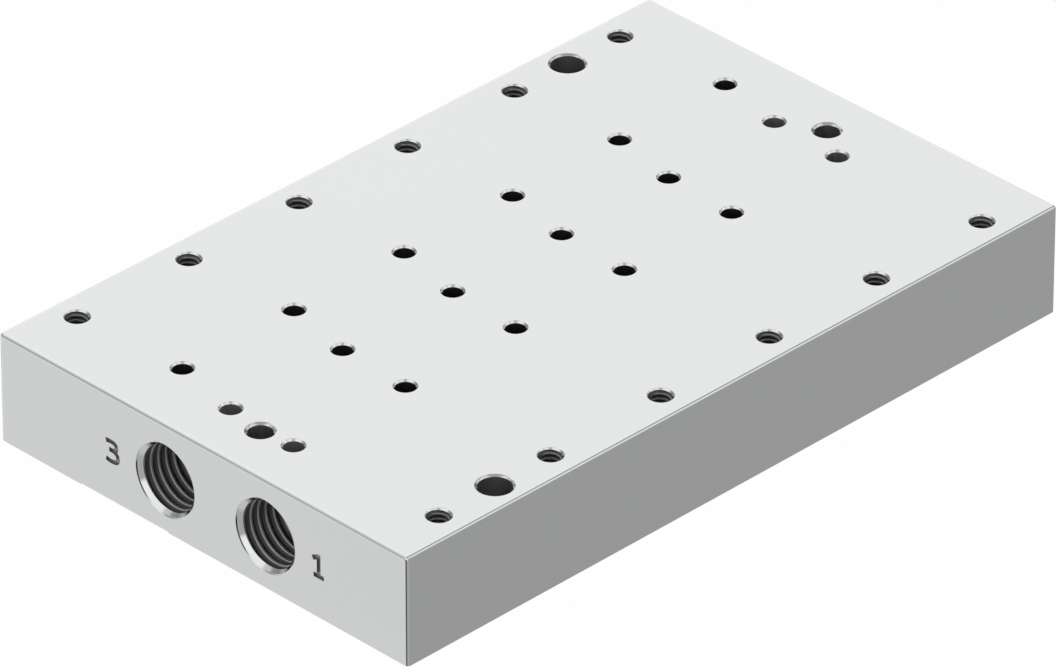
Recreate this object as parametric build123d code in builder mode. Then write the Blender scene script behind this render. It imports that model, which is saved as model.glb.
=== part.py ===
import os
from math import radians, tan

from build123d import *

# A manifold rail for a row of air valves: one solid block of aluminium. Two long galleries run
# through it, one for supply and one for exhaust, with a tapped port at both ends of each. At every
# valve station the top has two tapped holes for the valve's screws and three small passages: two
# break into the galleries, and the third meets an outlet port that is drilled from the underside.
# X runs along the rail from the numbered end, Y across it, Z up. The origin is the middle of the base.
# Millimetres. Every bore is a diameter, and every lead is the width of the 45 degree bevel at its mouth.

# The block, whose rounded edges are those of the top and the four upright ones
stations = 6
station_pitch = 18.5
end_margin = 9.15               # from an end face to the nearest valve screws
rail_height = 15.15
edge_radius = 0.5

# Valve screws, M3, one near each long side
screw_row_spacing = 61.7
near_margin = 4.0               # from the near long side to its row of screws
far_margin = 4.0
screw_bore = 2.5
screw_lead = 0.42
screw_depth = 8.0

# Galleries, and the G1/8 ports at their ends
supply_row = 23.9               # from the near long side to the supply gallery
gallery_spacing = 17.1          # from there to the exhaust gallery
gallery_drop = 0.3              # below the middle of the rail's height
port_bore = 8.8
port_lead = 0.65
port_depth = 10.0
gallery_step = 0.4              # by which the gallery is narrower than its ports, each side

# Passages up to each valve
passage_bore = 2.6
passage_lead = 0.18
supply_passage_offset = 3.0     # across the rail, from the gallery that it breaks into
exhaust_passage_offset = -3.0
supply_passage_shift = -1.5     # along the rail, from the valve's screws
exhaust_passage_shift = -1.1
outlet_shift = 1.0

# Outlet ports, M5, in a shallow milled strip along the underside
outlet_offset = 7.5             # across the rail, from the exhaust gallery
outlet_port_bore = 4.2
outlet_port_lead = 0.4
outlet_port_depth = 7.0
strip_width = 15.25
strip_shift = -0.3              # of its middle line, across the rail, from the outlet ports
strip_depth = 0.15

# Mounting holes right through: M4 beside the end valves, M3 between the galleries at each end
corner_bore = 4.3
corner_lead = 0.22
web_bore = 3.2
web_lead = 0.25
web_offset = 8.1                # across the rail, from the supply gallery
web_end_distance = 7.15

drill_angle = 118               # of a drill's point, degrees; screw holes are finished flat instead
overrun = 1.0                   # how far a cutter starts outside the block

rail_length = (stations - 1) * station_pitch + 2 * end_margin
rail_width = near_margin + screw_row_spacing + far_margin
half_length = rail_length / 2
near_side = -rail_width / 2
near_screws = near_side + near_margin
far_screws = near_screws + screw_row_spacing
supply_line = near_side + supply_row
exhaust_line = supply_line + gallery_spacing
outlet_line = exhaust_line + outlet_offset
web_line = supply_line + web_offset
gallery_height = rail_height / 2 - gallery_drop
gallery_bore = port_bore - 2 * gallery_step
first_station = end_margin - half_length
last_station = half_length - end_margin
station_places = [first_station + station_pitch * i for i in range(stations)]


def blind_hole(bore, lead, depth, pointed=True):
    """What a drill takes away below a mouth at Z = 0: a bevel, a straight wall and the drill's point."""
    radius = bore / 2
    point = radius / tan(radians(drill_angle / 2)) if pointed else 0
    with BuildPart() as space:
        with BuildSketch(Plane.XZ):
            with BuildLine():
                Polyline(
                    (0, overrun),
                    (radius + lead + overrun, overrun),
                    (radius, -lead),
                    (radius, -depth),
                    (0, -depth - point),
                    close=True,
                )
            make_face()
        revolve(axis=Axis.Z)
    return space.part


def through_hole(bore, lead, height):
    """What a drill takes away between two bevelled mouths at Z = 0 and Z = -height."""
    radius = bore / 2
    wide = radius + lead + overrun
    with BuildPart() as space:
        with BuildSketch(Plane.XZ):
            with BuildLine():
                Polyline(
                    (0, overrun),
                    (wide, overrun),
                    (radius, -lead),
                    (radius, lead - height),
                    (wide, -height - overrun),
                    (0, -height - overrun),
                    close=True,
                )
            make_face()
        revolve(axis=Axis.Z)
    return space.part


screw_hole = blind_hole(screw_bore, screw_lead, screw_depth, pointed=False)
gallery_passage = blind_hole(passage_bore, passage_lead, rail_height - gallery_height)
outlet_passage = blind_hole(passage_bore, passage_lead, rail_height - strip_depth - outlet_port_depth)
outlet_port = blind_hole(outlet_port_bore, outlet_port_lead, outlet_port_depth)
end_port = blind_hole(port_bore, port_lead, port_depth)
corner_hole = through_hole(corner_bore, corner_lead, rail_height)
web_hole = through_hole(web_bore, web_lead, rail_height)

with BuildPart() as manifold_rail:
    with BuildSketch(Plane.XY):
        Rectangle(rail_length, rail_width)
    extrude(amount=rail_height)
    upright_edges = manifold_rail.edges().filter_by(Axis.Z)
    top_edges = manifold_rail.faces().sort_by(Axis.Z)[-1].edges()
    fillet(upright_edges + top_edges, radius=edge_radius)

    # The milled strip along the underside
    with BuildSketch(Plane.XY):
        with Locations((0, outlet_line + strip_shift)):
            Rectangle(rail_length, strip_width)
    extrude(amount=strip_depth, mode=Mode.SUBTRACT)

    # The galleries, from end to end, and a port at both ends of each
    with BuildSketch(Plane.YZ.offset(-half_length)):
        with Locations((supply_line, gallery_height), (exhaust_line, gallery_height)):
            Circle(gallery_bore / 2)
    extrude(amount=rail_length, mode=Mode.SUBTRACT)
    for outward in (-1, 1):
        for line in (supply_line, exhaust_line):
            mouth = Plane((outward * half_length, line, gallery_height), z_dir=(outward, 0, 0))
            with Locations(mouth):
                add(end_port, mode=Mode.SUBTRACT)

    # The valve stations
    for place in station_places:
        with Locations((place, near_screws, rail_height), (place, far_screws, rail_height)):
            add(screw_hole, mode=Mode.SUBTRACT)
        supply_mouth = (place + supply_passage_shift, supply_line + supply_passage_offset, rail_height)
        exhaust_mouth = (place + exhaust_passage_shift, exhaust_line + exhaust_passage_offset, rail_height)
        with Locations(supply_mouth, exhaust_mouth):
            add(gallery_passage, mode=Mode.SUBTRACT)
        with Locations((place + outlet_shift, outlet_line, rail_height)):
            add(outlet_passage, mode=Mode.SUBTRACT)
        underside = Plane((place + outlet_shift, outlet_line, strip_depth), z_dir=(0, 0, -1))
        with Locations(underside):
            add(outlet_port, mode=Mode.SUBTRACT)

    # The mounting holes
    beside_valve = station_pitch / 2
    with Locations(
        (first_station + beside_valve, near_screws, rail_height),
        (last_station - beside_valve, far_screws, rail_height),
    ):
        add(corner_hole, mode=Mode.SUBTRACT)
    web_reach = half_length - web_end_distance
    with Locations((-web_reach, web_line, rail_height), (web_reach, web_line, rail_height)):
        add(web_hole, mode=Mode.SUBTRACT)

manifold_rail.part.label = "manifold_rail"

os.makedirs("parts", exist_ok=True)
export_step(manifold_rail.part, "parts/manifold_rail.step")
print("rail", rail_length, "x", rail_width, "x", rail_height, "mm, volume", manifold_rail.part.volume)
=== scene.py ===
# %% [markdown]
# # A drilled valve manifold rail, finished for the camera
#
# The real object is one block of aluminium, 110.8 mm long. Two air galleries run through it from end to
# end, and six valves are screwed to its top. A CAD model gives the exact block. This lesson makes the
# surface that a camera sees: rounded edges, turned bevels, real screw threads, engraved figures and the
# satin finish of anodised aluminium.
#
# Everything is in metres, in the CAD model's own frame: the origin is under the middle of the block, X runs
# along it, and Z points up.

# %% Load the fixed frame
import math

import bmesh
import bpy
from mathutils import Matrix, Vector


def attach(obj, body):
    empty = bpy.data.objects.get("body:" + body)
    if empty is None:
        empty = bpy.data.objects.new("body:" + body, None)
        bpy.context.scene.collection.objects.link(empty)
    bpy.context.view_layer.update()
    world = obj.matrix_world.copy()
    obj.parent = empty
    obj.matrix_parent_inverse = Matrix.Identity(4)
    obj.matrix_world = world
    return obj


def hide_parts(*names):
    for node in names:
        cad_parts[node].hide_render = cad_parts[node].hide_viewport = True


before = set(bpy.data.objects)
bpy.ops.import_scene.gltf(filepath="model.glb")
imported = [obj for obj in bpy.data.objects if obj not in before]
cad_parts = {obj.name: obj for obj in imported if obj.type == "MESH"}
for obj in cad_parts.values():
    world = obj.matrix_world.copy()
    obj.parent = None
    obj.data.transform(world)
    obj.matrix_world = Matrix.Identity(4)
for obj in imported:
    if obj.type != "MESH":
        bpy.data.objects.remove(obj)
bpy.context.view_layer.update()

# %% [markdown]
# ## Sizes
#
# A maker's drawing is in millimetres, so the sizes are written that way and turned into metres where they
# are used. They are the same numbers as in the CAD model. The valve stations repeat every 18.5 mm, so one
# number places thirty holes, five at each station.

# %% The sizes of the block and the lines that its holes lie on
MM = 0.001
LENGTH, WIDTH, HEIGHT = 110.8, 69.7, 15.15
EDGE_RADIUS = 0.5
STATIONS = 6
PITCH = 18.5
FIRST_TO_LAST = (STATIONS - 1) * PITCH
FIRST_STATION = -FIRST_TO_LAST / 2
SCREW_SPACING = 61.7
NEAR_SCREWS, FAR_SCREWS = -SCREW_SPACING / 2, SCREW_SPACING / 2
SUPPLY_LINE, EXHAUST_LINE, OUTLET_LINE = -10.95, 6.15, 13.65
GALLERY_HEIGHT = 7.275
STRIP_LINE, STRIP_WIDTH, STRIP_DEPTH = 13.35, 15.25, 0.15
END_FACE = -LENGTH / 2
print("block", LENGTH, "x", WIDTH, "x", HEIGHT, "mm with", STATIONS, "stations")

# %% [markdown]
# ## The camera
#
# The photograph was taken from far away with a long lens, so parallel edges stay nearly parallel. Its angle
# was solved from the thirty small holes. The camera looks at a point near the middle of the block, and the
# tiny roll is part of the solution.

# %% Put the camera where the photograph was taken from
AZIMUTH, ELEVATION, ROLL = -44.9383, 32.2540, 0.0198
AIM = Vector((1.515, 2.254, 4.223)) * MM
DISTANCE = 1.55567
SENSOR_WIDTH, FOCAL_LENGTH = 36.0, 437.67
FARTHEST_SEEN = 20.0


def add_object(name, data):
    """A new object in the scene."""
    thing = bpy.data.objects.new(name, data)
    bpy.context.scene.collection.objects.link(thing)
    return thing


azimuth, elevation, roll = (math.radians(angle) for angle in (AZIMUTH, ELEVATION, ROLL))
level_reach = math.cos(elevation)
towards = Vector((-level_reach * math.sin(azimuth), level_reach * math.cos(azimuth), -math.sin(elevation)))
level_right = towards.cross(Vector((0, 0, 1))).normalized()
level_up = level_right.cross(towards)
right = level_right * math.cos(roll) - level_up * math.sin(roll)
up = level_right * math.sin(roll) + level_up * math.cos(roll)

lens = bpy.data.cameras.new("long lens")
lens.sensor_width, lens.lens, lens.clip_end = SENSOR_WIDTH, FOCAL_LENGTH, FARTHEST_SEEN
camera = add_object("camera", lens)
camera_turn = Matrix((right, up, -towards)).transposed().to_4x4()
camera.matrix_world = Matrix.Translation(AIM - towards * DISTANCE) @ camera_turn
bpy.context.scene.camera = camera
bpy.context.scene.view_settings.view_transform = "Standard"
print("camera at", [round(value, 3) for value in camera.matrix_world.translation])

# %% [markdown]
# ## Helpers for node trees
#
# A tree is a list of nodes and links. Five small helpers keep the cells below short. One gives a tree its
# named inputs and outputs, one adds a node and sets or links its inputs, one does the same and hands back
# the node's first output, and two are for a step of arithmetic, on numbers and on vectors.


# %% Small helpers for building node trees
def new_tree(kind, name, inputs, outputs):
    """A node group with named sockets. Each is (name, socket type) or (name, socket type, value)."""
    tree = bpy.data.node_groups.new(name, kind)
    for in_out, sockets in (("INPUT", inputs), ("OUTPUT", outputs)):
        for socket_name, socket_type, *value in sockets:
            socket = tree.interface.new_socket(name=socket_name, in_out=in_out, socket_type=socket_type)
            if value:
                socket.default_value = value[0]
    return tree, tree.nodes.new("NodeGroupInput").outputs, tree.nodes.new("NodeGroupOutput").inputs


def add_node(tree, kind, inputs=None, **settings):
    """A new node. inputs maps a socket's name or number to a value or to another node's output."""
    node = tree.nodes.new(kind)
    for name, value in settings.items():
        setattr(node, name, value)
    for key, value in (inputs or {}).items():
        if isinstance(value, bpy.types.NodeSocket):
            tree.links.new(value, node.inputs[key])
        else:
            node.inputs[key].default_value = value
    return node


def output_of(tree, kind, inputs=None, **settings):
    """The first output of a new node."""
    return add_node(tree, kind, inputs, **settings).outputs[0]


def math_node(tree, operation, *values, clamp=False):
    """One step of arithmetic; returns its output."""
    return output_of(tree, "ShaderNodeMath", dict(enumerate(values)), operation=operation, use_clamp=clamp)


def vector_math(tree, operation, *values, output=0):
    """One step of arithmetic on vectors; returns its output."""
    inputs = dict(enumerate(values))
    return add_node(tree, "ShaderNodeVectorMath", inputs, operation=operation).outputs[output]


print("helpers ready")

# %% [markdown]
# ## Finish 1: the grain that every machined surface shares
#
# Anodised aluminium isn't one flat grey. The etch before anodising leaves a very fine grain, and the metal
# has faint clouds in its tone. Both come from noise in Object coordinates, so they stay on the metal when
# the camera moves. They are built once, as a group, and each finish uses it with its own strength.

# %% A node group for the fine grain and the faint clouds
FLOAT, VECTOR = "NodeSocketFloat", "NodeSocketVector"
grain, grain_in, grain_out = new_tree(
    "ShaderNodeTree", "satin grain",
    [
        ("Grain size", FLOAT, 0.0003), ("Cloud size", FLOAT, 0.02), ("Grain", FLOAT, 0.01),
        ("Clouds", FLOAT, 0.01),
    ],
    [("Tone", FLOAT), ("Height", FLOAT)],
)
place_on_metal = add_node(grain, "ShaderNodeTexCoord").outputs["Object"]


def noise(size, detail, roughness):
    """Noise from 0 to 1, with spots about as large as the size."""
    scale = math_node(grain, "DIVIDE", 1.0, size)
    inputs = {"Vector": place_on_metal, "Scale": scale, "Detail": detail, "Roughness": roughness}
    return add_node(grain, "ShaderNodeTexNoise", inputs).outputs["Fac"]


def swing(spots, strength):
    """How far the noise moves the tone, up or down."""
    return math_node(grain, "MULTIPLY", math_node(grain, "SUBTRACT", spots, 0.5), strength)


fine = noise(grain_in["Grain size"], 2.0, 0.6)
cloudy = noise(grain_in["Cloud size"], 3.0, 0.5)
change = math_node(grain, "ADD", swing(fine, grain_in["Grain"]), swing(cloudy, grain_in["Clouds"]))
grain.links.new(math_node(grain, "ADD", 1.0, change), grain_out["Tone"])
grain.links.new(fine, grain_out["Height"])
print("group:", grain.name)

# %% [markdown]
# ## Finish 2: one metal, in several finishes, with painted shade in the holes
#
# The outer faces are satin. The rounded edges and the bevels at the hole mouths were cut last, with a sharp
# tool, and shine more. The walls of the holes were drilled or tapped, so they are rougher. Their colour is
# darkened as painted shade, darkest in a thread's grooves and deep in a passage; the thread crests and the
# passages over a port are lighter, as painted light, though still darker than the outer faces. All of them
# are metal, so they differ in colour, roughness and grain only, and one function makes them all.

# %% A maker of metal finishes
RELIEF = 0.00002


def metal(name, colour, roughness, grain_size, grain_strength, clouds, bump):
    """A metal finish. The grain changes its tone and its roughness and, through a bump, its gloss."""
    material = bpy.data.materials.new(name)
    material.use_nodes = True
    tree = material.node_tree
    shader = tree.nodes["Principled BSDF"].inputs
    shader["Metallic"].default_value = 1.0
    strengths = {"Grain size": grain_size, "Grain": grain_strength, "Clouds": clouds}
    surface = add_node(tree, "ShaderNodeGroup", strengths, node_tree=grain).outputs
    tint = output_of(tree, "ShaderNodeRGB")
    tint.default_value = (*colour, 1.0)
    toned = output_of(tree, "ShaderNodeVectorMath", {0: tint, "Scale": surface["Tone"]}, operation="SCALE")
    tree.links.new(toned, shader["Base Color"])
    tree.links.new(math_node(tree, "MULTIPLY", surface["Tone"], roughness), shader["Roughness"])
    relief = {"Height": surface["Height"], "Strength": bump, "Distance": RELIEF}
    tree.links.new(output_of(tree, "ShaderNodeBump", relief), shader["Normal"])
    return material


print("the grain stands", RELIEF / MM, "mm high")

# %% The finishes of the faces and edges, and the painted shade and light of the holes and figures
CUT_GRAIN = dict(grain_size=0.0002, grain_strength=0.10, clouds=0.05, bump=0.3)
satin = metal("satin anodised aluminium", (0.783, 0.800, 0.791), 0.36, 0.00035, 0.02, 0.02, 0.15)
bevel_finish = metal("turned bevel", (0.80, 0.815, 0.81), 0.14, 0.0002, 0.04, 0.02, 0.1)
# The hole walls are darker than the outer faces: painted shade inside the holes.
bore_painted_shade = metal("drilled wall, painted shade", (0.48, 0.485, 0.48), 0.42, **CUT_GRAIN)
# The crests are lighter than the grooves, a painted highlight on the ridges, and darker than the outer
# faces, painted shade.
crest_painted_highlight_and_shade = metal("thread crest, painted highlight and shade", (0.60, 0.61, 0.60), 0.60, **CUT_GRAIN)
# Deep in a passage the wall is darkened further: painted shade.
deep_painted_shade = metal("deep passage wall, painted shade", (0.16, 0.165, 0.16), 0.42, **CUT_GRAIN)
# Over a port the passage wall is lighter than deep in a passage, painted light from the port, and still
# darker than the outer faces, painted shade.
over_port_painted_light_and_shade = metal("passage wall over a port, painted light and shade", (0.50, 0.505, 0.50), 0.5, **CUT_GRAIN)
# The tapped grooves are darkest: painted shade in the threads and screw holes.
tapped_painted_shade = metal("tapped groove, painted shade", (0.11, 0.115, 0.11), 0.42, **CUT_GRAIN)
# The engraved grooves of the figures are darker than the face: painted shade.
figure_painted_shade = metal("engraved groove", (0.35, 0.355, 0.35), 0.5, 0.0001, 0.10, 0.05, 0.3)
print("materials in the file:", [material.name for material in bpy.data.materials])

# %% [markdown]
# ## Cutters
#
# The block is made as in a workshop: a plain block, and then tools that cut it. A tool for a round hole is a
# turned shape. The Screw modifier could turn its profile too, but rings made in code let every step of the
# profile mark its faces as wall, bevel or thread crest. The mark is an attribute, and a later step reads it
# to give the bevels their finish and the walls and crests their painted shade and light. Every tool points
# down, with its mouth at z = 0 and a little waste above it, and it ends in a drill's point or flat.

# %% A turned cutter from its profile
WALL, BEVEL, CREST = 0, 1, 2
DRILL_ANGLE = 118


def kept(mesh, name):
    """Turns a bmesh into mesh data, and frees it."""
    data = bpy.data.meshes.new(name)
    mesh.to_mesh(data)
    mesh.free()
    return data


def turned(name, profile, sides, bevels=(), crests=(), pointed=True):
    """A closed turned solid in metres. profile is (radius, height) in mm, from its top down its outside.
    bevels and crests list the steps of the profile, counted from 0, that get those finishes."""
    mesh = bmesh.new()
    mark = mesh.faces.layers.int.new("finish")
    angles = [2 * math.pi * side / sides for side in range(sides)]
    rings = []
    for radius, height in profile:
        places = [Vector((radius * math.cos(angle), radius * math.sin(angle), height)) for angle in angles]
        rings.append([mesh.verts.new(place * MM) for place in places])
    last_radius, last_height = profile[-1]
    point = last_radius / math.tan(math.radians(DRILL_ANGLE / 2)) if pointed else 0.0
    top = mesh.verts.new((0, 0, profile[0][1] * MM))
    tip = mesh.verts.new((0, 0, (last_height - point) * MM))
    for side in range(sides):
        after = (side + 1) % sides
        mesh.faces.new((top, rings[0][side], rings[0][after]))
        for step, (upper, lower) in enumerate(zip(rings, rings[1:])):
            face = mesh.faces.new((upper[side], lower[side], lower[after], upper[after]))
            face[mark] = BEVEL if step in bevels else CREST if step in crests else WALL
        mesh.faces.new((tip, rings[-1][after], rings[-1][side]))
    return kept(mesh, name)


print("a drill's point has", DRILL_ANGLE, "degrees")

# %% [markdown]
# ## The mouths of the holes
#
# In the photograph every mouth shows as a bright ring, so its shape matters more than the depth of the hole.
# The large holes have two bevels, a narrow flat lip and a steeper countersink inside it. The lip of a small
# hole is almost too narrow to see. The slopes and widths were fitted to the rings in the photograph.

# %% Profiles of blind holes and of holes that go through
WASTE_HEIGHT, WASTE_WIDTH = 0.4, 0.5
LIP_SLOPE = 32
# lead is how much wider the mouth is than the bore, on each side, and lip is the lip's share of it
PORT_MOUTH = dict(lead=0.65, lip=0.16, slope=46)


def fall(width, slope):
    """How far a bevel goes down over its width."""
    return width * math.tan(math.radians(slope))


def mouth_profile(bore, lead, lip, slope):
    """The mouth of a hole, from above the surface down: waste, a narrow lip, and then the countersink."""
    mouth = bore / 2 + lead
    lip_end = -fall(lip, LIP_SLOPE)
    bevel_end = lip_end - fall(lead - lip, slope)
    waste = (mouth + WASTE_WIDTH, WASTE_HEIGHT)
    return [waste, (mouth, 0.0), (mouth - lip, lip_end), (bore / 2, bevel_end)]


def blind_profile(bore, depth, mouth):
    """A hole that ends in the metal."""
    return [*mouth_profile(bore, **mouth), (bore / 2, -depth)]


def through_profile(bore, depth, mouth, middle=()):
    """A hole with the same mouth at both ends. middle is what comes between the two."""
    upper = mouth_profile(bore, **mouth)
    lower = [(radius, -depth - height) for radius, height in reversed(upper)]
    return [*upper, *middle, *lower]


PORT_BORE = 8.8
port_mouth = mouth_profile(PORT_BORE, **PORT_MOUTH)
print("mouth of a port:", [(round(radius, 2), round(height, 2)) for radius, height in port_mouth])

# %% [markdown]
# ## Repeating a tool
#
# Holes repeat along lines, so Geometry Nodes repeat the tools. The tree below puts copies of its own mesh on
# a row of points. It turns each copy towards the face that it cuts. It ends with Realize Instances and Set
# Material, because a later step needs real faces, each with its material: the bevels' finish, or the walls'
# and crests' painted shade and light.

# %% A Geometry Nodes tree that repeats a cutter along a row
GEOMETRY, INTEGER, MATERIAL = "NodeSocketGeometry", "NodeSocketInt", "NodeSocketMaterial"
ROW_INPUTS = [
    ("Count", INTEGER, 1), ("First", VECTOR), ("Step", VECTOR), ("Turn", VECTOR),
    ("Wall", MATERIAL), ("Bevel", MATERIAL), ("Crest", MATERIAL),
]


def set_material(tree, geometry, material, **selection):
    """Gives faces a finish: all of them, or those that the selection names."""
    inputs = {"Geometry": geometry, "Material": material, **selection}
    return output_of(tree, "GeometryNodeSetMaterial", inputs)


def repeat_on_row(tree, cutter, inputs):
    """Adds the nodes that repeat a cutter along a row and give it its three finishes."""
    line = {"Count": inputs["Count"], "Start Location": inputs["First"], "Offset": inputs["Step"]}
    points = output_of(tree, "GeometryNodeMeshLine", line, mode="OFFSET")
    copying = {"Points": points, "Instance": cutter, "Rotation": inputs["Turn"]}
    copies = output_of(tree, "GeometryNodeInstanceOnPoints", copying)
    real = output_of(tree, "GeometryNodeRealizeInstances", {"Geometry": copies})
    shape = set_material(tree, real, inputs["Wall"])
    mark = output_of(tree, "GeometryNodeInputNamedAttribute", {"Name": "finish"}, data_type="INT")
    for number, socket in ((BEVEL, "Bevel"), (CREST, "Crest")):
        pair = {2: mark, 3: number}
        same = output_of(tree, "FunctionNodeCompare", pair, data_type="INT", operation="EQUAL")
        shape = set_material(tree, shape, inputs[socket], Selection=same)
    return shape


row_tree, row_in, row_out = new_tree(
    "GeometryNodeTree", "row of cutters", [("Cutter", GEOMETRY), *ROW_INPUTS], [("Cutters", GEOMETRY)]
)
row_tree.links.new(repeat_on_row(row_tree, row_in["Cutter"], row_in), row_out["Cutters"])
print("tree:", row_tree.name, "with", len(row_tree.nodes), "nodes")


# %% Run a tree on a mesh or curve, and keep the plain result
def run_tree(name, data, tree, **values):
    """Puts data through a Geometry Nodes tree, and returns the result as a plain mesh."""
    carrier = add_object(name, data)
    modifier = carrier.modifiers.new(name, "NODES")
    modifier.node_group = tree
    sockets = tree.interface.items_tree
    identifiers = {socket.name: socket.identifier for socket in sockets if socket.in_out == "INPUT"}
    for key, value in values.items():
        modifier[identifiers[key.replace("_", " ").capitalize()]] = value
    bpy.context.view_layer.update()
    evaluated = carrier.evaluated_get(bpy.context.evaluated_depsgraph_get())
    result = bpy.data.meshes.new_from_object(evaluated)
    carrier.modifiers.remove(modifier)
    bpy.data.objects.remove(carrier)
    return result


def row(name, cutter, count, first, step, turn, wall=bore_painted_shade, tree=row_tree, **values):
    """A row of one cutter. first and step are points in millimetres."""
    mesh = run_tree(
        name, cutter, tree, count=count, first=tuple(Vector(first) * MM), step=tuple(Vector(step) * MM),
        turn=turn, wall=wall, bevel=bevel_finish, crest=crest_painted_highlight_and_shade, **values,
    )
    print(f"{name}: {count} x, {len(mesh.polygons)} faces")
    return mesh


DOWN, UP = (0, 0, 0), (math.pi, 0, 0)
INWARDS, BACKWARDS = (0, -math.pi / 2, 0), (0, math.pi / 2, 0)
print("a tool for the front end turns by", round(math.degrees(INWARDS[1])), "degrees about Y")

# %% [markdown]
# ## The plain holes
#
# From above there are two rows of screw holes, two rows of air passages into the galleries, and one row that
# goes down to the outlets under the block. Four plain holes take the screws that fasten the rail. The
# galleries and their four ports are one turned shape that goes right through from end to end, because parts
# of one tool can't leave a seam in the metal as two tools might.

# %% The tools for the plain holes
SCREW_BORE, SCREW_DEPTH = 2.5, 8.0
SCREW_THROAT, THROAT_DEPTH = 2.86, 0.5
PASSAGE_BORE, GALLERY_PASSAGE_DEPTH, OUTLET_PASSAGE_DEPTH = 2.6, 7.8, 8.0
OUTLET_BORE, OUTLET_DEPTH = 4.2, 7.0
CORNER_BORE, WEB_BORE = 4.3, 3.2
SMALL_MOUTH = dict(lead=0.24, lip=0.02, slope=48)
OUTLET_MOUTH = dict(lead=0.4, lip=0.1, slope=42)
CORNER_MOUTH = dict(lead=0.29, lip=0.09, slope=42)
WEB_MOUTH = dict(lead=0.34, lip=0.10, slope=42)
SMALL_SIDES, LARGE_SIDES = 48, 64
# The steps of a profile that are bevels: those of a blind hole, and of a hole that goes through
BLIND_BEVELS, THROUGH_BEVELS = (1, 2), (1, 2, 4, 5)

screw_profile = [
    *mouth_profile(SCREW_THROAT, **SMALL_MOUTH),
    (SCREW_BORE / 2, -THROAT_DEPTH), (SCREW_BORE / 2, -SCREW_DEPTH),
]
screw_hole = turned("screw hole", screw_profile, SMALL_SIDES, BLIND_BEVELS, (4,), pointed=False)
gallery_passage_profile = blind_profile(PASSAGE_BORE, GALLERY_PASSAGE_DEPTH, SMALL_MOUTH)
gallery_passage = turned("gallery passage", gallery_passage_profile, SMALL_SIDES, BLIND_BEVELS)
outlet_passage_profile = blind_profile(PASSAGE_BORE, OUTLET_PASSAGE_DEPTH, SMALL_MOUTH)
outlet_passage = turned("outlet passage", outlet_passage_profile, SMALL_SIDES, BLIND_BEVELS)
outlet_profile = blind_profile(OUTLET_BORE, OUTLET_DEPTH, OUTLET_MOUTH)
outlet_port = turned("outlet port", outlet_profile, LARGE_SIDES, BLIND_BEVELS, (3,))
corner_profile = through_profile(CORNER_BORE, HEIGHT, CORNER_MOUTH)
corner_hole = turned("corner hole", corner_profile, LARGE_SIDES, THROUGH_BEVELS, pointed=False)
web_profile = through_profile(WEB_BORE, HEIGHT, WEB_MOUTH)
web_hole = turned("web hole", web_profile, LARGE_SIDES, THROUGH_BEVELS, pointed=False)
print("screw hole tool:", len(screw_hole.polygons), "faces")

# %% The tool for a gallery and its two ports
PORT_DEPTH, PORT_END = 10.0, 10.24
GALLERY_BORE = 8.0
PORT_SIDES = 96
between_mouths = [
    (PORT_BORE / 2, -PORT_DEPTH), (GALLERY_BORE / 2, -PORT_END),
    (GALLERY_BORE / 2, PORT_END - LENGTH), (PORT_BORE / 2, PORT_DEPTH - LENGTH),
]
gallery_profile = through_profile(PORT_BORE, LENGTH, PORT_MOUTH, between_mouths)
gallery = turned("gallery", gallery_profile, PORT_SIDES, (1, 2, 8, 9), (3, 7), pointed=False)
print("gallery tool:", len(gallery.polygons), "faces")

# %% Rows of holes from above and below, and the galleries
ALONG = (PITCH, 0, 0)
ACROSS_PORTS = (0, EXHAUST_LINE - SUPPLY_LINE, 0)
OUTLET_START = FIRST_STATION + 1.0
CORNER_HOLE_START = FIRST_STATION + PITCH / 2
WEB_HOLE_START, WEB_LINE = END_FACE + 7.15, SUPPLY_LINE + 8.1
PASSAGE_ROWS = [
    ("supply", FIRST_STATION - 1.5, SUPPLY_LINE + 3.0),
    ("exhaust", FIRST_STATION - 1.1, EXHAUST_LINE - 3.0),
]


def holes(name, tool, count, x, y, wall=bore_painted_shade, step=ALONG):
    """A row of holes in the top face, with its first one at x and y."""
    return row(name, tool, count, (x, y, HEIGHT), step, DOWN, wall)


cutters_from_above = [
    holes("near screw holes", screw_hole, STATIONS, FIRST_STATION, NEAR_SCREWS, tapped_painted_shade),
    holes("far screw holes", screw_hole, STATIONS, FIRST_STATION, FAR_SCREWS, tapped_painted_shade),
]
# The inner passages take the dark painted shade; the two at the ends, over a port, take the lighter painted
# light.
for air, x, y in PASSAGE_ROWS:
    inner = holes(f"inner {air} passages", gallery_passage, STATIONS - 2, x + PITCH, y, deep_painted_shade)
    outer = holes(f"outer {air} passages", gallery_passage, 2, x, y, over_port_painted_light_and_shade, (FIRST_TO_LAST, 0, 0))
    cutters_from_above += [inner, outer]
# The second hole of each pair is as far from the middle, towards the other end
corner_step = (-2 * CORNER_HOLE_START, SCREW_SPACING, 0)
web_step = (-2 * WEB_HOLE_START, 0, 0)
# The outlet passages take the deep passages' painted shade.
cutters_from_above += [
    holes("outlet passages", outlet_passage, STATIONS, OUTLET_START, OUTLET_LINE, deep_painted_shade),
    holes("corner holes", corner_hole, 2, CORNER_HOLE_START, NEAR_SCREWS, step=corner_step),
    holes("web holes", web_hole, 2, WEB_HOLE_START, WEB_LINE, step=web_step),
]
outlet_place = (OUTLET_START, OUTLET_LINE, STRIP_DEPTH)
cutters_from_below = [row("outlet ports", outlet_port, STATIONS, outlet_place, ALONG, UP)]
front_port = (END_FACE, SUPPLY_LINE, GALLERY_HEIGHT)
cutters_from_the_ends = [row("galleries", gallery, 2, front_port, ACROSS_PORTS, INWARDS)]

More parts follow.
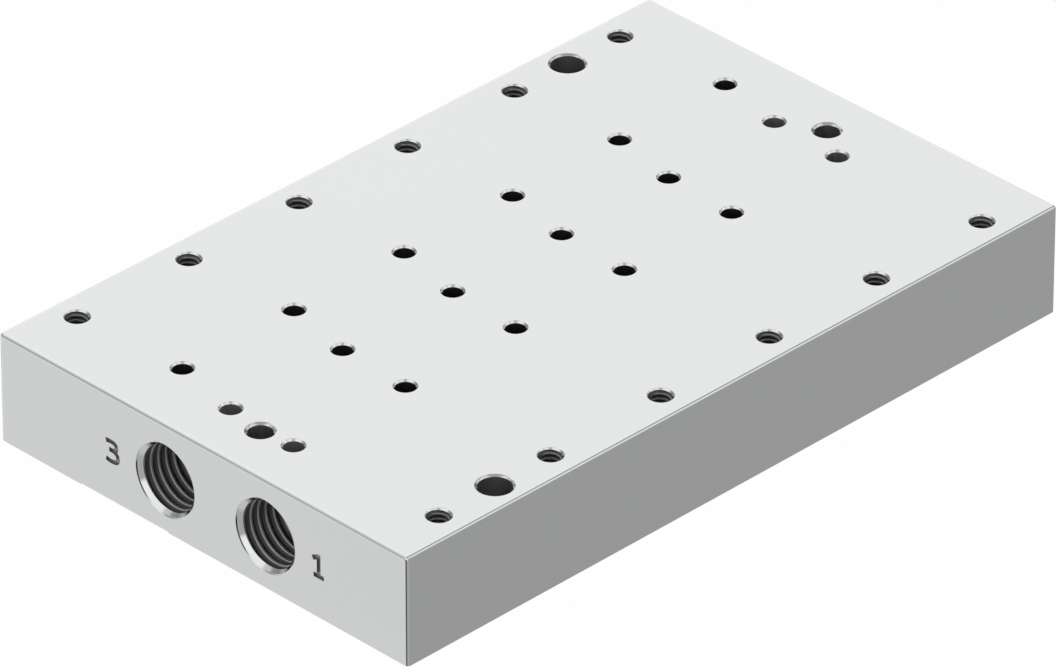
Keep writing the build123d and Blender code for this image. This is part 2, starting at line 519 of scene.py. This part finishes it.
# %% [markdown]
# ## The screw threads
#
# A tap cuts a groove that winds down the wall of a hole. A texture could only draw it, but at this size the
# light catches every turn, so it is cut for real. In Geometry Nodes that is a spiral with a tooth swept
# along it. Blender's spiral winds to the left, and Reverse makes it the right-handed thread of a real screw.
# The tooth grows from almost nothing at both ends, as a real thread runs in and out. The photograph shows
# coarser threads than the standard ones, so the pitch follows the photograph.

# %% The inputs of a tapped thread, and its spiral
tap_tree, tap_in, tap_out = new_tree(
    "GeometryNodeTree", "row of tapped threads",
    [
        *ROW_INPUTS, ("Crest radius", FLOAT, 0.0044), ("Groove depth", FLOAT, 0.0005),
        ("Pitch", FLOAT, 0.001), ("Turns", FLOAT, 6.0), ("Crest width", FLOAT, 0.2),
        ("Start depth", FLOAT, 0.0007), ("Start angle", FLOAT, 0.0), ("Steps", INTEGER, 48),
    ],
    [("Cutters", GEOMETRY)],
)
OVERLAP = 0.00012


def tap_math(operation, *values, clamp=False):
    """One step of arithmetic in the thread's tree."""
    return math_node(tap_tree, operation, *values, clamp=clamp)


spiral_radius = tap_math("SUBTRACT", tap_in["Crest radius"], OVERLAP)
rise = tap_math("MULTIPLY", tap_in["Pitch"], tap_in["Turns"])
spiral = output_of(
    tap_tree, "GeometryNodeCurveSpiral",
    {
        "Resolution": tap_in["Steps"], "Rotations": tap_in["Turns"], "Start Radius": spiral_radius,
        "End Radius": spiral_radius, "Height": rise, "Reverse": True,
    },
)
upright_spiral = output_of(tap_tree, "GeometryNodeSetCurveNormal", {"Curve": spiral}, mode="Z_UP")
print("a tooth starts", OVERLAP / MM, "mm inside the wall")

# %% The tooth: corners as shares of its depth and of half its mouth, up one side and down the other
TOOTH_SIDE = [(0.0, 1.0), (0.4, 0.7), (1.0, 0.14)]
tooth_corners = [(out, -half) for out, half in TOOTH_SIDE]
tooth_corners += [(out, half) for out, half in reversed(TOOTH_SIDE)]
tooth_depth = tap_math("ADD", tap_in["Groove depth"], OVERLAP)
half_share = tap_math("MULTIPLY_ADD", tap_in["Crest width"], -0.5, 0.5)
half_mouth = tap_math("MULTIPLY", tap_in["Pitch"], half_share)

corner_number = output_of(tap_tree, "GeometryNodeInputIndex")
chosen = add_node(tap_tree, "GeometryNodeIndexSwitch", {"Index": corner_number}, data_type="VECTOR")
while len(chosen.index_switch_items) < len(tooth_corners):
    chosen.index_switch_items.new()
for number, (out, half) in enumerate(tooth_corners):
    corner = {"X": tap_math("MULTIPLY", tooth_depth, out), "Y": tap_math("MULTIPLY", half_mouth, half)}
    tap_tree.links.new(output_of(tap_tree, "ShaderNodeCombineXYZ", corner), chosen.inputs[str(number)])
ring = output_of(tap_tree, "GeometryNodeMeshCircle", {"Vertices": len(tooth_corners)})
loop = output_of(tap_tree, "GeometryNodeMeshToCurve", {"Mesh": ring})
tooth = output_of(tap_tree, "GeometryNodeSetPosition", {"Geometry": loop, "Position": chosen.outputs[0]})
print("a tooth has", len(tooth_corners), "corners")

# %% Sweep the tooth along the spiral, and mark where it leaves the crests
GROWTH_PER_TURN, SMALLEST_TOOTH = 5.0, 0.05
CREST_SHARE = 0.3
progress = add_node(tap_tree, "GeometryNodeSplineParameter").outputs["Factor"]
turns_done = tap_math("MULTIPLY", progress, tap_in["Turns"])
turns_left = tap_math("SUBTRACT", tap_in["Turns"], turns_done)
turns_to_an_end = tap_math("MINIMUM", turns_done, turns_left)
growth = tap_math("MULTIPLY_ADD", turns_to_an_end, GROWTH_PER_TURN, SMALLEST_TOOTH, clamp=True)
groove = output_of(
    tap_tree, "GeometryNodeCurveToMesh",
    {"Curve": upright_spiral, "Profile Curve": tooth, "Scale": growth, "Fill Caps": True},
)

place = output_of(tap_tree, "GeometryNodeInputPosition")
without_height = vector_math(tap_tree, "MULTIPLY", place, (1, 1, 0))
from_axis = vector_math(tap_tree, "LENGTH", without_height, output="Value")
# Faces near the crest take the crest's painted highlight; the rest of the groove takes the tapped wall's
# painted shade.
crest_edge = tap_math("MULTIPLY_ADD", tooth_depth, CREST_SHARE, spiral_radius)
crest_mark = tap_math("MULTIPLY", tap_math("LESS_THAN", from_axis, crest_edge), CREST)
marked_groove = output_of(
    tap_tree, "GeometryNodeStoreNamedAttribute",
    {"Geometry": groove, "Name": "finish", "Value": crest_mark}, data_type="INT", domain="FACE",
)
print("a tooth is whole after", round((1 - SMALLEST_TOOTH) / GROWTH_PER_TURN, 2), "of a turn")

# %% Hang the thread below the mouth, turn it to its first groove, and repeat it
depth_of_end = tap_math("ADD", tap_in["Start depth"], rise)
drop = output_of(tap_tree, "ShaderNodeCombineXYZ", {"Z": tap_math("MULTIPLY", depth_of_end, -1.0)})
whole_turn = tap_math("MULTIPLY", tap_in["Turns"], 2 * math.pi)
twist_angle = tap_math("SUBTRACT", tap_in["Start angle"], whole_turn)
twist = output_of(tap_tree, "ShaderNodeCombineXYZ", {"Z": twist_angle})
hanging = {"Geometry": marked_groove, "Translation": drop, "Rotation": twist}
tap = output_of(tap_tree, "GeometryNodeTransform", hanging)
tap_tree.links.new(repeat_on_row(tap_tree, tap, tap_in), tap_out["Cutters"])
print("tree:", tap_tree.name, "with", len(tap_tree.nodes), "nodes")

# %% The threads of the ports, the screw holes and the outlets
PORT_THREAD = dict(
    bore=PORT_BORE, groove_depth=0.55, pitch=1.24, first_groove=1.72, depths=(0.57, 8.6), crest_width=0.06,
    steps=88,
)
SCREW_THREAD = dict(
    bore=SCREW_BORE, groove_depth=0.3, pitch=0.7, first_groove=0.385, depths=(-0.05, 5.6), crest_width=0.08,
    steps=44,
)
OUTLET_THREAD = dict(
    bore=OUTLET_BORE, groove_depth=0.4, pitch=0.8, first_groove=0.9, depths=(0.4, 6.0), crest_width=0.2,
    steps=44,
)


def threads(name, count, first, step, turn, bore, groove_depth, pitch, first_groove, depths, **shape):
    """A row of threads. first_groove is the depth in mm at which the groove passes the tool's X side,
    and depths are where the thread starts and ends. shape has its crest width and its steps in a turn."""
    start, end = depths
    return row(
        name, bpy.data.meshes.new(name), count, first, step, turn, tapped_painted_shade, tap_tree,
        crest_radius=bore / 2 * MM, groove_depth=groove_depth * MM, pitch=pitch * MM,
        turns=(end - start) / pitch, start_depth=start * MM,
        start_angle=(first_groove - start) / pitch * 2 * math.pi, **shape,
    )


rear_port = (-END_FACE, SUPPLY_LINE, GALLERY_HEIGHT)
near_screw = (FIRST_STATION, NEAR_SCREWS, HEIGHT)
far_screw = (FIRST_STATION, FAR_SCREWS, HEIGHT)
thread_cutters = [
    threads("front port threads", 2, front_port, ACROSS_PORTS, INWARDS, **PORT_THREAD),
    threads("rear port threads", 2, rear_port, ACROSS_PORTS, BACKWARDS, **PORT_THREAD),
    threads("near screw threads", STATIONS, near_screw, ALONG, DOWN, **SCREW_THREAD),
    threads("far screw threads", STATIONS, far_screw, ALONG, DOWN, **SCREW_THREAD),
    threads("outlet threads", STATIONS, outlet_place, ALONG, UP, **OUTLET_THREAD),
]

# %% [markdown]
# ## The engraved figures
#
# Two figures on the end face tell the fitter which port is which: 1 is the supply and 3 is the exhaust. A
# text object would bring a typeface with sharp corners. An engraving tool followed a path, so each stroke is
# a curve, and a Geometry Nodes tree sweeps the tool's section along it. Strokes that meet go into different
# groups, because each cut takes shapes that don't touch each other.

# %% A Geometry Nodes tree that sweeps an engraving tool along a path
ENGRAVING_WASTE = 0.3 * MM
engrave_tree, engrave_in, engrave_out = new_tree(
    "GeometryNodeTree", "engraved groove",
    [
        ("Path", GEOMETRY), ("Width", FLOAT, 0.0006), ("Floor width", FLOAT, 0.0005),
        ("Depth", FLOAT, 0.0004), ("Wall", MATERIAL),
    ],
    [("Groove", GEOMETRY)],
)
half_width = math_node(engrave_tree, "MULTIPLY", engrave_in["Width"], 0.5)
half_floor = math_node(engrave_tree, "MULTIPLY", engrave_in["Floor width"], 0.5)
sunk = math_node(engrave_tree, "MULTIPLY", engrave_in["Depth"], -1.0)
section_corners = [
    (half_width, -1, ENGRAVING_WASTE), (half_floor, -1, sunk), (half_floor, 1, sunk),
    (half_width, 1, ENGRAVING_WASTE),
]
section = add_node(engrave_tree, "GeometryNodeCurvePrimitiveQuadrilateral", mode="POINTS")
for number, (across, side, height) in enumerate(section_corners, start=1):
    corner = {"X": math_node(engrave_tree, "MULTIPLY", across, side), "Y": height}
    corner_place = output_of(engrave_tree, "ShaderNodeCombineXYZ", corner)
    engrave_tree.links.new(corner_place, section.inputs[f"Point {number}"])
path = output_of(engrave_tree, "GeometryNodeSetCurveNormal", {"Curve": engrave_in["Path"]}, mode="Z_UP")
sweep = {"Curve": path, "Profile Curve": section.outputs[0], "Fill Caps": True}
swept = output_of(engrave_tree, "GeometryNodeCurveToMesh", sweep)
solid = output_of(engrave_tree, "GeometryNodeRealizeInstances", {"Geometry": swept})
engrave_tree.links.new(set_material(engrave_tree, solid, engrave_in["Wall"]), engrave_out["Groove"])
print("tree:", engrave_tree.name, "with", len(engrave_tree.nodes), "nodes")

# %% The strokes of the two figures, on the end face
# The figures' grooves take a darkened colour: painted shade.
STROKE = dict(width=0.70 * MM, floor_width=0.56 * MM, depth=0.45 * MM, wall=figure_painted_shade)
ONTO_END_FACE = Matrix(((0, 0, -1, END_FACE * MM), (-1, 0, 0, 0), (0, 1, 0, 0), (0, 0, 0, 1)))


def stroke(name, points, smooth=False):
    """One engraved stroke. points are (right, up) in mm on the end face, seen from outside."""
    curve = bpy.data.curves.new(name, "CURVE")
    curve.dimensions = "3D"
    curve.resolution_u = 6
    spline = curve.splines.new("NURBS" if smooth else "POLY")
    spline.points.add(len(points) - 1)
    for point, (across, height) in zip(spline.points, points):
        point.co = (across * MM, height * MM, 0, 1)
    if smooth:
        spline.order_u = 4
        spline.use_endpoint_u = True
    mesh = run_tree(name, curve, engrave_tree, **STROKE)
    mesh.transform(ONTO_END_FACE)
    print(f"{name}: {len(mesh.polygons)} faces")
    return mesh


upper_bowl = [
    (-16.35, 8.41), (-15.95, 8.52), (-15.1, 8.57), (-14.45, 8.24), (-14.5, 7.44), (-15.1, 7.32),
    (-15.8, 7.32),
]
lower_bowl = [
    (-15.3, 7.32), (-14.7, 7.25), (-14.2, 6.82), (-14.3, 6.02), (-14.9, 5.74), (-15.8, 5.74),
    (-16.35, 5.90),
]
engraving_groups = [
    [stroke("three, upper bowl", upper_bowl, True), stroke("one, stem", [(19.98, 8.84), (19.98, 5.8)])],
    [stroke("three, lower bowl", lower_bowl, True), stroke("one, foot", [(19.1, 5.80), (20.85, 5.80)])],
    [stroke("one, flag", [(18.95, 8.05), (20.1, 8.6)])],
]

# %% [markdown]
# ## The block
#
# The plain block has rounded edges round its top and up its corners, 0.5 mm, and sharp edges underneath. A
# Bevel modifier would need weights to leave the lower edges sharp, so the edges are picked in code and
# bevelled at once. A shallow strip is milled along the underside, so that the outlet ports stand a little
# back.


# %% Make the plain block with its rounded edges
def box_mesh(low, high):
    """A closed box between two corners in mm."""
    mesh = bmesh.new()
    bmesh.ops.create_cube(mesh, size=1.0)
    low, high = Vector(low), Vector(high)
    for vertex in mesh.verts:
        shares = [value + 0.5 for value in vertex.co]
        vertex.co = Vector([a + share * (b - a) for share, a, b in zip(shares, low, high)]) * MM
    return mesh


EDGE_STEPS = 8
plain = box_mesh((-LENGTH / 2, -WIDTH / 2, 0), (LENGTH / 2, WIDTH / 2, HEIGHT))
mid_height = 0.5 * HEIGHT * MM
rounded = [edge for edge in plain.edges if max(vertex.co.z for vertex in edge.verts) > mid_height]
bmesh.ops.bevel(
    plain, geom=rounded, offset=EDGE_RADIUS * MM, offset_type="OFFSET", segments=EDGE_STEPS, profile=0.5,
    affect="EDGES",
)
block = add_object("manifold_rail_finished", kept(plain, "manifold rail"))
block.data.materials.append(satin)
block.data.materials.append(bevel_finish)
for face in block.data.polygons:
    is_flat = max(abs(part) for part in face.normal) > 0.999
    face.material_index = 0 if is_flat else 1

SPARE = 1
strip_low = (END_FACE - SPARE, STRIP_LINE - STRIP_WIDTH / 2, -SPARE)
strip_high = (-END_FACE + SPARE, STRIP_LINE + STRIP_WIDTH / 2, STRIP_DEPTH)
strip = kept(box_mesh(strip_low, strip_high), "strip")
strip.materials.append(satin)
print("block:", len(block.data.polygons), "faces")

# %% [markdown]
# ## Cutting
#
# The cutters of one group don't touch each other, so each group becomes one mesh and one Boolean modifier.
# The modifier takes over the cutter's material, with its finish or painted shade, for the faces that it
# leaves.
# The threads come after the plain holes, as in the workshop.


# %% Cut the block with one group of cutters after another
def joined(meshes, name):
    """One object from several meshes, which keeps each one's finish."""
    parts = [add_object(name, mesh) for mesh in meshes]
    picked = dict(active_object=parts[0], selected_editable_objects=parts, selected_objects=parts)
    with bpy.context.temp_override(**picked):
        if len(parts) > 1:
            bpy.ops.object.join()
    return parts[0]


def face_outwards(mesh):
    """Turns a closed mesh's faces outwards, and counts its open edges."""
    work = bmesh.new()
    work.from_mesh(mesh)
    bmesh.ops.recalc_face_normals(work, faces=work.faces)
    open_edges = sum(not edge.is_manifold for edge in work.edges)
    work.to_mesh(mesh)
    work.free()
    return open_edges


def cut(group, name):
    """Subtracts a group of closed meshes from the block."""
    tool = joined(group, name)
    open_edges = face_outwards(tool.data)
    modifier = block.modifiers.new(name, "BOOLEAN")
    modifier.operation, modifier.solver, modifier.object = "DIFFERENCE", "MANIFOLD", tool
    modifier.material_mode = "TRANSFER"
    bpy.context.view_layer.update()
    evaluated = block.evaluated_get(bpy.context.evaluated_depsgraph_get())
    result = bpy.data.meshes.new_from_object(evaluated)
    block.modifiers.remove(modifier)
    block.data = result
    bpy.data.objects.remove(tool)
    print(f"{name}: {open_edges} open edges in the tool, block now {len(result.polygons)} faces")


cut([strip], "milled strip")
cut(cutters_from_the_ends, "galleries and ports")
cut(cutters_from_above, "holes from above")
cut(cutters_from_below, "outlet ports")
cut(thread_cutters, "threads")
for number, group in enumerate(engraving_groups, start=1):
    cut(group, f"engraving {number}")

# %% [markdown]
# ## Shading
#
# Every face is smooth except across real edges. An angle of 14 degrees tells them apart: the rounded edges
# and hole walls turn by less from face to face, and a bevel's edge turns by more. The large flat faces
# should stay flat beside their rounded edges, so a Weighted Normal modifier gives each corner the normal
# of its largest face.

# %% Smooth the curved faces and keep the real edges sharp
SHARP = math.radians(14)
SAME_PLACE = 0.0000005
work = bmesh.new()
work.from_mesh(block.data)
bmesh.ops.remove_doubles(work, verts=work.verts, dist=SAME_PLACE)
bmesh.ops.dissolve_degenerate(work, edges=work.edges, dist=SAME_PLACE)
open_edges = sum(not edge.is_manifold for edge in work.edges)
for face in work.faces:
    face.smooth = True
for edge in work.edges:
    edge.smooth = len(edge.link_faces) == 2 and edge.calc_face_angle(0.0) < SHARP
volume = work.calc_volume(signed=True)
work.to_mesh(block.data)
work.free()

weighting = block.modifiers.new("flat faces stay flat", "WEIGHTED_NORMAL")
weighting.mode, weighting.weight, weighting.keep_sharp = "FACE_AREA", 100, True
bpy.context.view_layer.update()
evaluated_block = block.evaluated_get(bpy.context.evaluated_depsgraph_get())
shaded = bpy.data.meshes.new_from_object(evaluated_block)
block.modifiers.remove(weighting)
block.data = shaded
triangles = sum(len(face.vertices) - 2 for face in block.data.polygons)
print(f"{open_edges} open edges, {triangles} triangles, volume {volume * 1e9:.0f} mm3")
print("finishes:", [material.name for material in block.data.materials])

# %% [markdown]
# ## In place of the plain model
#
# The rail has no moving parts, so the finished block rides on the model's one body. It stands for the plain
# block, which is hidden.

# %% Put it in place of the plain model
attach(block, "root")
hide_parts("manifold_rail")
print("finished piece stands for manifold_rail")

# %% [markdown]
# ## The studio
#
# Metal shows what stands around it, so a photographer lights metal with what it mirrors. Lamps would leave
# hot spots, so the light comes from a large dome instead. It carries soft cards, each an even disc of one
# tone with a soft edge, in the direction that some face or bevel mirrors. A nearly white card makes the top
# bright, two grey ones below give the end and the long side their tones, and small dark ones draw the dark
# marks on the rims of the holes. None is much brighter than white paper.

# %% A node group for one soft card in the surroundings
card, card_in, card_out = new_tree(
    "ShaderNodeTree", "soft card",
    [
        ("Direction", VECTOR), ("Facing", VECTOR), ("Inner", FLOAT, 0.9), ("Outer", FLOAT, 0.7),
        ("Before", FLOAT), ("Card", FLOAT),
    ],
    [("Light", FLOAT)],
)
closeness = vector_math(card, "DOT_PRODUCT", card_in["Direction"], card_in["Facing"], output="Value")
limits = {"Value": closeness, "From Min": card_in["Outer"], "From Max": card_in["Inner"]}
cover = output_of(card, "ShaderNodeMapRange", limits, interpolation_type="SMOOTHSTEP")
tones = {"Factor": cover, "A": card_in["Before"], "B": card_in["Card"]}
card.links.new(output_of(card, "ShaderNodeMix", tones, data_type="FLOAT"), card_out["Light"])
print("group:", card.name)

# %% [markdown]
# ## The cards
#
# Each row is one card: where its middle stands, how large it is and how bright. A later card lies over the
# earlier ones. The tones and places were fitted to the photograph, face by face and rim by rim. They depend
# only on the direction from the middle of the studio, so they light the block the same way wherever the
# camera stands.

# %% The directions, sizes and tones of the cards
CARDS = [
    # azimuth from X, angle above the floor, half angle of the even disc, half angle at the end, tone
    (0, -90, 26, 46, 0.62),  # straight below
    (218, 29, 20, 31, 1.02),  # behind the photograph's camera
    (165, 38, 20, 32, 0.98),
    (117, 21, 16, 27, 0.30),
    (0, 90, 22, 36, 0.40),  # overhead
    (53, 31, 27, 42, 1.075),  # what the top mirrors
    (92, 51, 14, 24, 0.95),
    (130, 38, 7, 14, 0.62),
    (1, 47, 12, 21, 0.47),
    (300, 47, 12, 22, 0.78),
    (262, 47, 9, 17, 0.94),
    (225, 54, 5, 13, 0.48),
    (318, 35, 7, 14, 1.05),
    (342, 26, 8, 16, 0.68),
    (14, 4, 14, 22, 0.15),
    (76, 6, 12, 22, 0.28),
    (103, 5, 8, 18, 0.24),
    (120, -32, 24, 50, 0.805),  # what the numbered end mirrors
    (232, -32, 12, 36, 0.44),
    (201, -27, 10, 15, 0.01),
    (188, -6, 11, 20, 0.08),
    (315, -32, 20, 40, 0.38),  # what the long side mirrors
]
print("studio:", len(CARDS), "cards")


# %% Lay the cards over the empty studio, one after another
def card_direction(azimuth, elevation):
    """The direction of a card, from its angle round from X and its angle above the floor."""
    azimuth, elevation = math.radians(azimuth), math.radians(elevation)
    reach = math.cos(elevation)
    return (math.cos(azimuth) * reach, math.sin(azimuth) * reach, math.sin(elevation))


studio, studio_in, studio_out = new_tree(
    "ShaderNodeTree", "studio light", [("Direction", VECTOR)], [("Light", FLOAT)]
)
EMPTY_STUDIO = 0.42
light = EMPTY_STUDIO
for card_azimuth, card_elevation, even_angle, end_angle, tone in CARDS:
    settings = {
        "Direction": studio_in["Direction"], "Facing": card_direction(card_azimuth, card_elevation),
        "Inner": math.cos(math.radians(even_angle)), "Outer": math.cos(math.radians(end_angle)),
        "Before": light, "Card": tone,
    }
    light = output_of(studio, "ShaderNodeGroup", settings, node_tree=card)
studio.links.new(light, studio_out["Light"])
print("group:", studio.name, "with", len(studio.nodes), "nodes")

# %% [markdown]
# ## The dome and the world
#
# A real dome, 8 m across, carries the cards. It is left out of camera rays and shadows, so that the camera
# looks through it at a plain white world, as at a white backdrop.

# %% A white world, and the dome inside it
DOME_RADIUS = 4.0
world = bpy.data.worlds.new("white studio")
world.use_nodes = True
backdrop = world.node_tree.nodes["Background"].inputs
backdrop["Color"].default_value = (1, 1, 1, 1)
backdrop["Strength"].default_value = 1.0
bpy.context.scene.world = world

dome_mesh = bmesh.new()
bmesh.ops.create_icosphere(dome_mesh, subdivisions=4, radius=DOME_RADIUS)
dome = add_object("dome", kept(dome_mesh, "dome"))
dome.visible_camera = dome.visible_shadow = dome.visible_transmission = False

studio_cards = bpy.data.materials.new("studio cards")
studio_cards.use_nodes = True
dome_tree = studio_cards.node_tree
dome_tree.nodes.remove(dome_tree.nodes["Principled BSDF"])
place_on_dome = add_node(dome_tree, "ShaderNodeTexCoord").outputs["Object"]
direction = vector_math(dome_tree, "NORMALIZE", place_on_dome)
card_light = output_of(dome_tree, "ShaderNodeGroup", {"Direction": direction}, node_tree=studio)
card_glow = output_of(dome_tree, "ShaderNodeEmission", {"Color": card_light, "Strength": 1.0})
dome_tree.links.new(card_glow, dome_tree.nodes["Material Output"].inputs["Surface"])
studio_cards.cycles.emission_sampling = "NONE"
dome.data.materials.append(studio_cards)
print("dome:", len(dome.data.polygons), "faces")

# %% [markdown]
# ## The floor
#
# The block stands on white paper. A lit sheet would come out light grey, so for camera rays it is mixed with
# plain white, and the small rest of paper keeps a faint shadow under the block. In the photograph the sides
# mirror something darker than this sheet, so reflections don't see the floor. They see the lower cards of
# the dome in its place.

# %% A sheet of white paper under the block
FLOOR_REACH, FLOOR_HEIGHT = 3.0, -0.0001
WHITE_SHARE = 0.985
floor_mesh = bmesh.new()
bmesh.ops.create_grid(floor_mesh, x_segments=1, y_segments=1, size=FLOOR_REACH)
for vertex in floor_mesh.verts:
    vertex.co.z = FLOOR_HEIGHT
floor = add_object("floor", kept(floor_mesh, "floor"))
floor.visible_glossy = False

paper = bpy.data.materials.new("white paper")
paper.use_nodes = True
sheet = paper.node_tree
sheet_shader = sheet.nodes["Principled BSDF"]
sheet_shader.inputs["Base Color"].default_value = (0.8, 0.8, 0.8, 1)
sheet_shader.inputs["Roughness"].default_value = 1.0
plain_white = output_of(sheet, "ShaderNodeEmission", {"Color": (1, 1, 1, 1), "Strength": 1.0})
from_camera = add_node(sheet, "ShaderNodeLightPath").outputs["Is Camera Ray"]
white_share = math_node(sheet, "MULTIPLY", from_camera, WHITE_SHARE)
mix = {0: white_share, 1: sheet_shader.outputs[0], 2: plain_white}
paper_look = output_of(sheet, "ShaderNodeMixShader", mix)
sheet.links.new(paper_look, sheet.nodes["Material Output"].inputs["Surface"])
floor.data.materials.append(paper)
print("floor ready")
